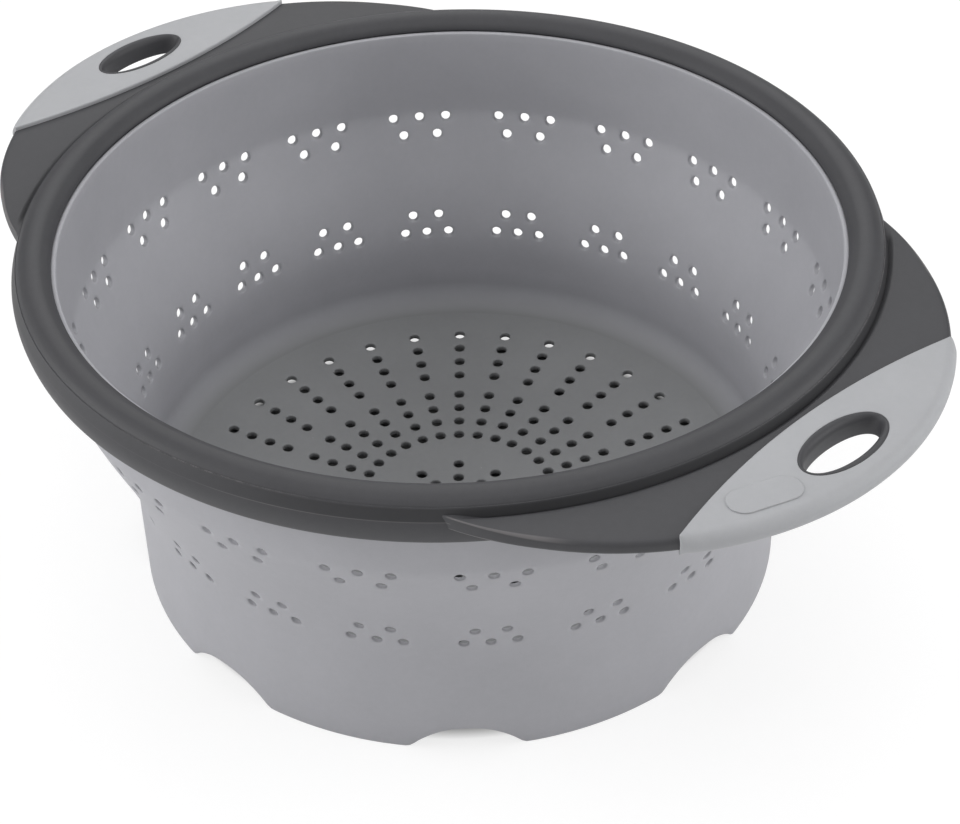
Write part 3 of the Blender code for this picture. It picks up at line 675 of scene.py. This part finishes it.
def grip(name, side, material, node):
    """One grip: a section with a full round outer edge and a small inner round, carried along the wing's arc.

    The outer edge draws in by part of an ellipse at the two ends. The top and underside open in an ellipse
    for the eye, joined through the grip.
    """
    turn = crowded(GRIP_TURN, GRIP_CROWDING, GRIP_COLUMNS + 1)
    into = np.clip(1 - (GRIP_TURN - np.abs(turn)) * WING_RADIUS / GRIP_END_RUN, 0, 1)
    outer = WING_RADIUS - GRIP_END_INSET * (1 - np.sqrt(1 - into**2))
    inner = grip_inner(turn)
    full = outer - inner
    outer_round = np.minimum(GRIP_HALF, ROUND_SHARE * full)
    inner_round = np.minimum(GRIP_INNER_ROUND, GRIP_INNER_SHARE * full)
    share = np.linspace(0, 1, GRIP_ROWS + 1)[:, None]
    flat = inner + inner_round + share * (full - inner_round - outer_round)
    bend = np.linspace(0, math.pi / 2, GRIP_INNER_STEPS)[:, None]
    near = inner + inner_round * (1 - np.sin(bend))
    far_bend = np.linspace(math.pi / 2, -math.pi / 2, GRIP_OUTER_STEPS)[1:-1, None]
    far = outer - outer_round * (1 - np.cos(far_bend))
    radius = np.vstack((near[:0:-1], flat, far, flat[::-1], near[1:]))
    level = np.concatenate((
        GRIP_HALF - GRIP_INNER_ROUND * (1 - np.cos(bend[:0:-1])), GRIP_HALF + 0 * share,
        GRIP_HALF * np.sin(far_bend), -GRIP_HALF + 0 * share,
        -GRIP_HALF + GRIP_INNER_ROUND * (1 - np.cos(bend[1:])),
    ))
    points = [wing_spot(turn, radius, WING_MIDDLE + level, side).transpose(1, 0, 2).reshape(-1, 3)]
    index = np.arange(radius.size).reshape(radius.shape[1], radius.shape[0])
    count = index.size

    width, deep = EYE_BLOCK
    first_top = GRIP_INNER_STEPS - 1
    first_under = first_top + GRIP_ROWS + 1 + len(far)
    top_row = first_top + EYE_BLOCK_MARGIN
    under_row = first_under + GRIP_ROWS - EYE_BLOCK_MARGIN
    column = GRIP_COLUMNS // 2 - width // 2
    step_columns, step_rows = block_edge(width, deep)
    top_edge = index[column + step_columns, top_row + step_rows][None]
    under_edge = index[column + step_columns, under_row - step_rows][None]
    flat_points = points[0][top_edge[0]]
    x = side * flat_points[:, 0] - EYE_REACH
    y = side * flat_points[:, 1]
    bearing = np.arctan2(y / EYE_HALVES[0], x / EYE_HALVES[1])
    levels = [top_edge]
    for share_in, grow, high in GRIP_EYE_RINGS:
        loop_x = EYE_REACH + x + share_in * ((EYE_HALVES[1] + grow) * np.cos(bearing) - x)
        loop_y = y + share_in * ((EYE_HALVES[0] + grow) * np.sin(bearing) - y)
        points.append(np.stack((side * loop_x, side * loop_y, np.full_like(x, WING_MIDDLE + high)), axis=-1))
        levels.append((count + np.arange(len(x)))[None])
        count += len(x)
    levels.append(under_edge)
    blocks = [(np.array([column]), np.array([row]), width, deep) for row in (top_row, under_row - deep)]
    ends = np.stack((points[0][index[0]].mean(axis=0), points[0][index[-1]].mean(axis=0)))
    faces = [cells(index, blocks), skin(levels), fan(index[0][::-1], count), fan(index[-1], count + 1)]
    return piece(name, np.vstack(points + [ends]), faces, material, "rim", (node,))


def badge(material):
    """The bare raised plate on the right grip: rings of a stadium outline, drawn in as they rise."""
    rings = np.array(BADGE_RINGS)
    bend = np.linspace(0, math.pi, BADGE_STEPS)
    half = np.stack((np.cos(bend), np.sin(bend)), -1) * (BADGE_ROUND - rings[:, 0])[:, None, None]
    loops = np.concatenate((half + (0, BADGE_HALF), -half - (0, BADGE_HALF)), axis=1)
    along, aside = math.cos(BADGE_TURN), math.sin(BADGE_TURN)
    centre = np.array([WING_CENTRE + BADGE_REACH * along, BADGE_REACH * aside])
    spot = centre + loops @ np.array([(along, -aside), (aside, along)]).T
    level = np.broadcast_to(WING_MIDDLE + rings[:, 1:], spot.shape[:2])
    points = np.concatenate((spot, level[..., None]), axis=-1)
    index = np.arange(level.size).reshape(level.shape)
    ends = np.array([(*centre, WING_MIDDLE + rings[0, 1]), (*centre, WING_MIDDLE + rings[-1, 1])])
    faces = [skin(index), fan(index[0][::-1], index.size), fan(index[-1], index.size + 1)]
    return piece("bare_plate", np.vstack((points.reshape(-1, 3), ends)), faces, material, "rim")


def linear(colour):
    """A scene colour from sRGB levels of 0 to 255."""
    return tuple(((level / 255 + 0.055) / 1.055) ** 2.4 for level in colour) + (1.0,)


class Nodes:
    """A short way to add nodes to a tree and link them."""

    def __init__(self, tree):
        self.tree = tree

    def add(self, kind, settings=None, **inputs):
        """Adds a node, with settings by attribute and inputs by socket name with spaces as underscores."""
        node = self.tree.nodes.new(kind)
        for key, value in (settings or {}).items():
            setattr(node, key, value)
        for key, value in inputs.items():
            self.put(node.inputs[int(key[1:]) if key[0] == "_" else key.replace("_", " ")], value)
        return node

    def put(self, socket, value):
        """Sets a socket, or links it to another one."""
        if isinstance(value, bpy.types.NodeSocket):
            self.tree.links.new(value, socket)
        else:
            socket.default_value = value

    def maths(self, operation, first, second=0.0, third=0.0):
        """The result of a Math node."""
        return self.add("ShaderNodeMath", {"operation": operation}, _0=first, _1=second, _2=third).outputs[0]

    def times(self, first, second):
        """The product of two numbers."""
        return self.maths("MULTIPLY", first, second)

    def scaled(self, value, low, high, to_low, to_high):
        """The result of a clamped Map Range node."""
        node = self.add("ShaderNodeMapRange", None, Value=value, From_Min=low, From_Max=high)
        self.put(node.inputs["To Min"], to_low)
        self.put(node.inputs["To Max"], to_high)
        return node.outputs[0]

    def mixed(self, share, first, second):
        """The result of a colour Mix node."""
        return self.add("ShaderNodeMix", {"data_type": "RGBA"}, _0=share, _6=first, _7=second).outputs[2]

    def noise(self, place, scale, detail, roughness=0.5):
        """The number that a Noise Texture node gives."""
        inputs = {"Vector": place, "Scale": scale, "Detail": detail, "Roughness": roughness}
        return self.add("ShaderNodeTexNoise", None, **inputs).outputs[0]

    def mark(self, name):
        """The mark of that name, which a piece's points carry."""
        return self.add("ShaderNodeAttribute", {"attribute_name": name}).outputs["Fac"]

    def place(self):
        """Object coordinates, their x, y and z in metres, and the distance from the axis."""
        place = self.add("ShaderNodeTexCoord").outputs["Object"]
        x, y, z = self.add("ShaderNodeSeparateXYZ", None, Vector=place).outputs
        flat = self.add("ShaderNodeVectorMath", {"operation": "MULTIPLY"}, _0=place, _1=(1, 1, 0)).outputs[0]
        return place, x, y, z, self.add("ShaderNodeVectorMath", {"operation": "LENGTH"}, _0=flat).outputs[1]


def effect(name, inputs, outputs):
    """A new node group with number inputs and outputs, and its group nodes."""
    group = bpy.data.node_groups.new(name, "ShaderNodeTree")
    for label, value in inputs:
        socket = group.interface.new_socket(name=label, in_out="INPUT", socket_type="NodeSocketFloat")
        socket.default_value = value
    for label in outputs:
        group.interface.new_socket(name=label, in_out="OUTPUT", socket_type="NodeSocketFloat")
    nodes = Nodes(group)
    return group, nodes, nodes.add("NodeGroupInput"), nodes.add("NodeGroupOutput")


def mould_grain():
    """Moulded plastic: slow patches, a fine grain and the faint waves that a mould leaves."""
    sizes = (("Patch Size", 30.0), ("Grain Size", 0.35))
    group, n, given, out = effect("mould_grain", sizes, ("Patches", "Grain"))
    place = n.add("ShaderNodeTexCoord").outputs["Object"]
    patch_scale = n.maths("DIVIDE", 1000.0, given.outputs["Patch Size"])
    grain_scale = n.maths("DIVIDE", 1000.0, given.outputs["Grain Size"])
    slow = n.noise(place, patch_scale, 5.0, 0.6)
    fine = n.noise(place, grain_scale, 2.0)
    middle = n.noise(place, n.maths("DIVIDE", grain_scale, 7.0), 3.0, 0.6)
    n.put(out.inputs["Patches"], n.scaled(slow, 0.3, 0.7, 0.0, 1.0))
    n.put(out.inputs["Grain"], n.maths("MULTIPLY_ADD", middle, 0.5, n.times(fine, 0.5)))
    return group


def dust_specks():
    """Sparse dust: small dots at the middle of scattered cells, kept only where a slow noise is high."""
    sizes = (("Cell Size", 2.2), ("Dot Share", 0.07), ("Cover", 0.5))
    group, n, given, out = effect("dust_specks", sizes, ("Specks",))
    place = n.add("ShaderNodeTexCoord").outputs["Object"]
    scale = n.maths("DIVIDE", 1000.0, given.outputs["Cell Size"])
    dots = n.add("ShaderNodeTexVoronoi", None, Vector=place, Scale=scale, Randomness=1.0)
    chosen = n.noise(place, n.maths("DIVIDE", scale, 3.0), 1.0)
    dot = n.maths("LESS_THAN", dots.outputs["Distance"], given.outputs["Dot Share"])
    kept = n.maths("GREATER_THAN", chosen, n.maths("SUBTRACT", 1.0, given.outputs["Cover"]))
    n.put(out.inputs["Specks"], n.times(dot, kept))
    return group


def parting_line():
    """A thin line at a height: full within a half width above and below it, and gone at twice that."""
    sizes = (("Height", 118.35), ("Half Width", 0.12))
    group, n, given, out = effect("parting_line", sizes, ("Line",))
    place = n.add("ShaderNodeTexCoord").outputs["Object"]
    high = n.times(n.add("ShaderNodeSeparateXYZ", None, Vector=place).outputs[2], 1000.0)
    off = n.maths("ABSOLUTE", n.maths("SUBTRACT", high, given.outputs["Height"]))
    half = given.outputs["Half Width"]
    n.put(out.inputs["Line"], n.scaled(off, half, n.times(half, 2.0), 1.0, 0.0))
    return group


def corner_shaded(n, colour, strength):
    """A colour with painted shade low inside the bowl's corner, which flows into the plate's colour on the
    lap. In metres.
    """
    _, _, _, high, away = n.place()
    within = n.scaled(away, 0.1052, 0.1056, 1.0, 0.0)
    low = n.times(n.scaled(high, 0.016, 0.03, strength, 0.0), within)
    colour = n.mixed(low, colour, linear(CORNER_SHADE_GREY))
    return n.mixed(n.scaled(away, 0.0975, 0.1035, 1.0, 0.0), colour, linear(LAP_GREY))


def seam_and_glints(n, colour, grain, strength):
    """A colour with the parting line on the band, a painted glint on the edge between band and dome, and
    painted highlights on the wing edges.

    The painted glint is broken by the grain and shows on the near left and the far right. The parting line is
    faint, and painted brighter on the near right, where it catches the light. Places are in metres, and the
    lines' heights and widths in millimetres.
    """
    _, x, y, _, away = n.place()
    seam = n.add("ShaderNodeGroup", {"node_tree": LINE}, Height=118.2, Half_Width=0.08).outputs["Line"]
    glint_line = n.add("ShaderNodeGroup", {"node_tree": LINE}, Height=122.2, Half_Width=0.05).outputs["Line"]
    # Where the painted glint shows: the near left and the far right
    near_left = n.times(n.scaled(y, -0.127, -0.115, 1.0, 0.12), n.scaled(x, 0.0, 0.025, 0.1, 1.0))
    far_right = n.times(n.scaled(y, -0.02, 0.01, 0.0, 0.8), n.scaled(x, 0.05, 0.08, 0.0, 1.0))
    outside = n.times(n.scaled(away, 0.13295, 0.13305, 0.0, 1.0), n.maths("MAXIMUM", near_left, far_right))
    broken = n.scaled(grain, 0.42, 0.6, 0.1, 1.0)
    edges = n.maths("ADD", n.times(glint_line, n.times(outside, broken)), n.mark("edge_glint"))
    # The parting line is painted brighter on the near right
    near = n.scaled(y, -0.02, -0.01, 1.0, 0.0)
    clear = n.maths("MULTIPLY_ADD", near, n.scaled(x, 0.03, 0.055, 0.0, 0.8), 0.2)
    on_band = n.times(n.times(seam, n.scaled(away, 0.1353, 0.1355, strength * 0.7, 0.0)), clear)
    return n.mixed(n.maths("ADD", on_band, n.times(edges, strength)), colour, linear(SEAM_AND_GLINT_GREY))


def plastic(name, dark, light, roughness, bump, dust=0.0, line=0.0, corner=0.0, painted_shade=0.0):
    """A moulded plastic between two colours with grain, and where given with dust specks, a parting line with
    painted glints and highlights, painted shade in the bowl's corner, and painted shade where the mark
    "shade" is."""
    material = bpy.data.materials.new(name)
    material.use_nodes = True
    n = Nodes(material.node_tree)
    shader = material.node_tree.nodes["Principled BSDF"]
    moulded = n.add("ShaderNodeGroup", {"node_tree": GRAIN}, Patch_Size=26.0, Grain_Size=0.32)
    patches, grain = moulded.outputs["Patches"], moulded.outputs["Grain"]
    colour = n.mixed(patches, linear(dark), linear(light))
    lifted = linear([level + GRAIN_LIFT for level in light])
    colour = n.mixed(n.scaled(grain, 0.35, 0.65, 0.0, 0.1), colour, lifted)
    # Painted shade low inside the bowl's corner, as strong as given
    if corner:
        colour = corner_shaded(n, colour, corner)
    # The parting line, painted glints on the band's edge and painted highlights on the wing edges
    if line:
        colour = seam_and_glints(n, colour, grain, line)
    if dust:
        specks = n.add("ShaderNodeGroup", {"node_tree": DUST}, Cell_Size=3.0, Dot_Share=0.045, Cover=dust)
        colour = n.mixed(specks.outputs["Specks"], colour, linear(DUST_GREY))
    # Painted shade where a piece's mark "shade" is high: in drain holes, on the band's upper flank and in the
    # wings' grooves
    if painted_shade:
        shaded = linear([level * SHADE_DARKENING for level in dark])
        colour = n.mixed(n.times(n.mark("shade"), painted_shade), colour, shaded)
    n.put(shader.inputs["Base Color"], colour)
    least, most = roughness - ROUGHNESS_SPREAD, roughness + ROUGHNESS_SPREAD
    n.put(shader.inputs["Roughness"], n.scaled(patches, 0.0, 1.0, least, most))
    raised = n.add("ShaderNodeBump", None, Strength=bump, Distance=0.0001, Height=grain)
    n.put(shader.inputs["Normal"], raised.outputs[0])
    return material


def grey(level):
    """An opaque grey of a scene level."""
    return (level, level, level, 1)


def bare_tree(owner):
    """A new world's or material's node tree, emptied."""
    owner.use_nodes = True
    owner.node_tree.nodes.clear()
    return Nodes(owner.node_tree)


def stage_material():
    """The white table: seen directly it is white with a soft shadow round the bowl, partly painted by a glow
    that is dimmer near it, and painted shade under it, where it also throws less light.
    """
    material = bpy.data.materials.new("white_table")
    n = bare_tree(material)
    away = n.place()[-1]
    open_table = n.scaled(away, *UNDER_BOWL, 0.0, 1.0)
    far_table = n.scaled(away, *SHADOW_FADE, 0.0, 1.0)
    under, near, far = SEEN_GREYS
    open_grey = n.mixed(far_table, grey(near), grey(far))
    strength = n.times(open_table, n.scaled(far_table, 0.0, 1.0, *GLOWS))
    plain = n.add("ShaderNodeBsdfDiffuse", None, Color=n.mixed(open_table, *map(grey, TABLE_GREYS)))
    seen = n.add("ShaderNodeBsdfDiffuse", None, Color=n.mixed(open_table, grey(under), open_grey))
    glow = n.add("ShaderNodeEmission", None, Color=grey(1), Strength=strength)
    white = n.add("ShaderNodeAddShader", None, _0=seen.outputs[0], _1=glow.outputs[0])
    ray = n.add("ShaderNodeLightPath").outputs
    through = n.maths("MAXIMUM", ray["Is Glossy Ray"], ray["Is Transmission Ray"])
    direct = n.maths("MAXIMUM", ray["Is Camera Ray"], through)
    both = n.add("ShaderNodeMixShader", None, _0=direct, _1=plain.outputs[0], _2=white.outputs[0])
    n.add("ShaderNodeOutputMaterial", None, Surface=both.outputs[0])
    return material


def softbox(name, place, size, power):
    """A square area light at a place in metres, turned to the bowl."""
    light = bpy.data.lights.new(name, "AREA")
    light.shape = "SQUARE"
    light.size = size
    light.energy = power
    lamp = bpy.data.objects.new(name, light)
    lamp.location = place
    lamp.rotation_euler = (Vector(LIGHT_TARGET) - Vector(place)).to_track_quat("-Z", "Y").to_euler()
    bpy.context.scene.collection.objects.link(lamp)


def studio():
    """A white table, a white surround and soft lights."""
    bpy.ops.mesh.primitive_plane_add(size=TABLE_SIZE)
    table = bpy.context.object
    table.name = "table"
    table.data.materials.append(stage_material())
    world = bpy.data.worlds.new("white_room")
    bpy.context.scene.world = world
    n = bare_tree(world)
    strength = n.scaled(n.add("ShaderNodeLightPath").outputs["Is Camera Ray"], 0.0, 1.0, ROOM_LIGHT, 1.0)
    room = n.add("ShaderNodeBackground", None, Color=grey(1), Strength=strength)
    n.add("ShaderNodeOutputWorld", None, Surface=room.outputs[0])
    for light in LIGHTS:
        softbox(*light)


def camera():
    """The photograph's viewpoint: elevation, roll, distance and offset fitted to it, turned to +X."""
    up_screen = Vector((0, math.sin(CAMERA_TILT), math.cos(CAMERA_TILT)))
    back = Vector((0, -math.cos(CAMERA_TILT), math.sin(CAMERA_TILT)))
    side = Vector((1, 0, 0))
    right = side * math.cos(CAMERA_ROLL) - up_screen * math.sin(CAMERA_ROLL)
    up = side * math.sin(CAMERA_ROLL) + up_screen * math.cos(CAMERA_ROLL)
    across, above, behind = CAMERA_PLACE
    place = (right * across + up * above + back * behind) / PIXELS_PER_MM * MM + Vector(CAMERA_POINT)
    axes = Matrix((right, up, back)).transposed().to_4x4()
    width, height = PICTURE
    data = bpy.data.cameras.new("camera")
    data.sensor_width = SENSOR
    data.lens = FOCAL_PIXELS * SENSOR / width
    data.shift_x = (width / 2 - PICTURE_CENTRE[0]) / width
    data.shift_y = (PICTURE_CENTRE[1] - height / 2) / width
    data.clip_start = 0.05
    data.clip_end = 50
    viewer = bpy.data.objects.new("camera", data)
    viewer.matrix_world = Matrix.Rotation(CAMERA_TURN, 4, "Z") @ Matrix.Translation(place) @ axes
    bpy.context.scene.collection.objects.link(viewer)
    bpy.context.scene.camera = viewer


GRAIN = mould_grain()
DUST = dust_specks()
LINE = parting_line()
soft_grey = plastic(
    "soft_grey_silk", (166, 166, 171), (172, 172, 177), 0.6, 0.25, 0.2, corner=0.45, painted_shade=0.25,
)
plate_grey = plastic("plate_grey_matte", (133, 134, 135), (139, 140, 141), 0.55, 0.2, 0.3, painted_shade=0.2)
charcoal = plastic("charcoal_satin", (61, 61, 64), (66, 66, 69), 0.56, 0.25, 0.12, 0.35, painted_shade=0.5)
charcoal.node_tree.nodes["Principled BSDF"].inputs["Specular IOR Level"].default_value = 0.42
pale_grip = plastic("pale_grip_silk", (164, 165, 168), (170, 171, 174), 0.58, 0.25, 0.2)

bowl_skin(soft_grey)
floor_plate(plate_grey)
rim_cap(charcoal)
band = rim_band(charcoal)
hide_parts("rim_frame")
for part in (
    band, wing("wing_right", 1, charcoal), wing("wing_left", -1, charcoal),
    eye_ring("eye_ring_right", 1, charcoal), eye_ring("eye_ring_left", -1, charcoal),
):
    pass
for part in (
    grip("soft_grip_right", 1, pale_grip, "grip_right"), grip("soft_grip_left", -1, pale_grip, "grip_left"),
    badge(pale_grip),
):
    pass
studio()
camera()
bpy.context.scene.view_settings.view_transform = "Standard"
